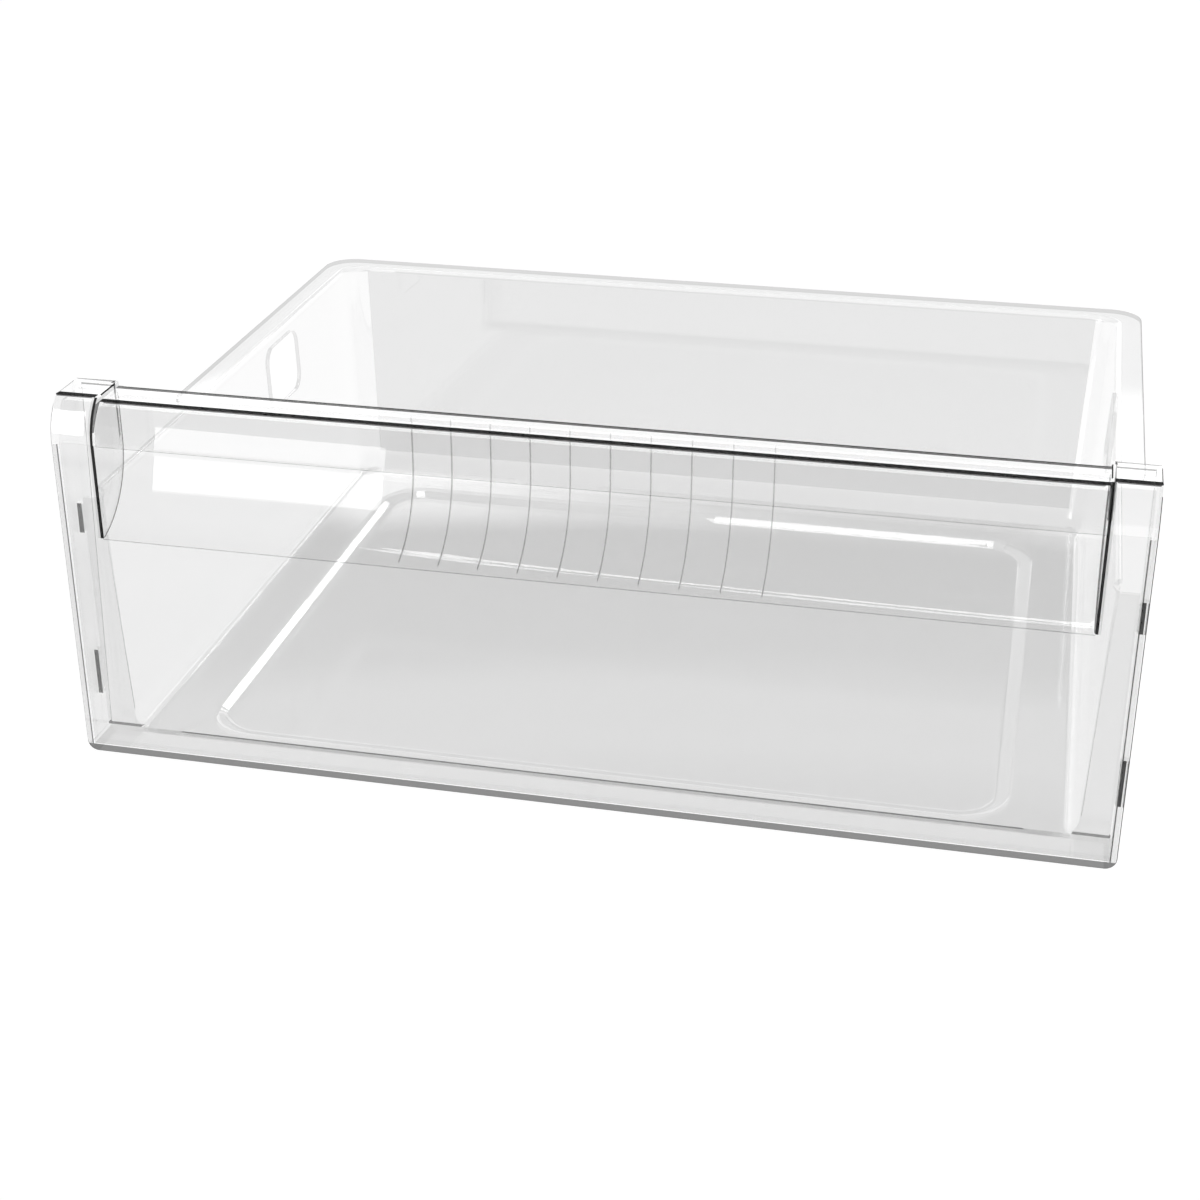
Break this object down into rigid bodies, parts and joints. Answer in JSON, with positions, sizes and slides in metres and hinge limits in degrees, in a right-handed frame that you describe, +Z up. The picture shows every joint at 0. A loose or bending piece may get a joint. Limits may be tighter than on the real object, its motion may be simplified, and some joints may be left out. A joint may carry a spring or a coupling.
{
  "type": "freezer drawer",
  "caption": "Clear freezer drawer: a clip-on front panel with a scooped, ribbed grip under a top bar, and a drafted bin with an outward rim, a sunk floor panel and hand holes in its sides.",
  "frame": {"origin": "centre of the bounding box on the plane that the drawer rests on", "axes": "+Z up, the front panel faces -Y, +X to the right seen from the front"},
  "size_m": [0.455, 0.36, 0.168],
  "materials": {
    "clear_front": "clear, polished injection moulding",
    "clear_bin": "clear, polished injection moulding"
  },
  "bodies": {
    "root": {"front_panel": "clear_front", "bin": "clear_bin"}
  },
  "joints": []
}
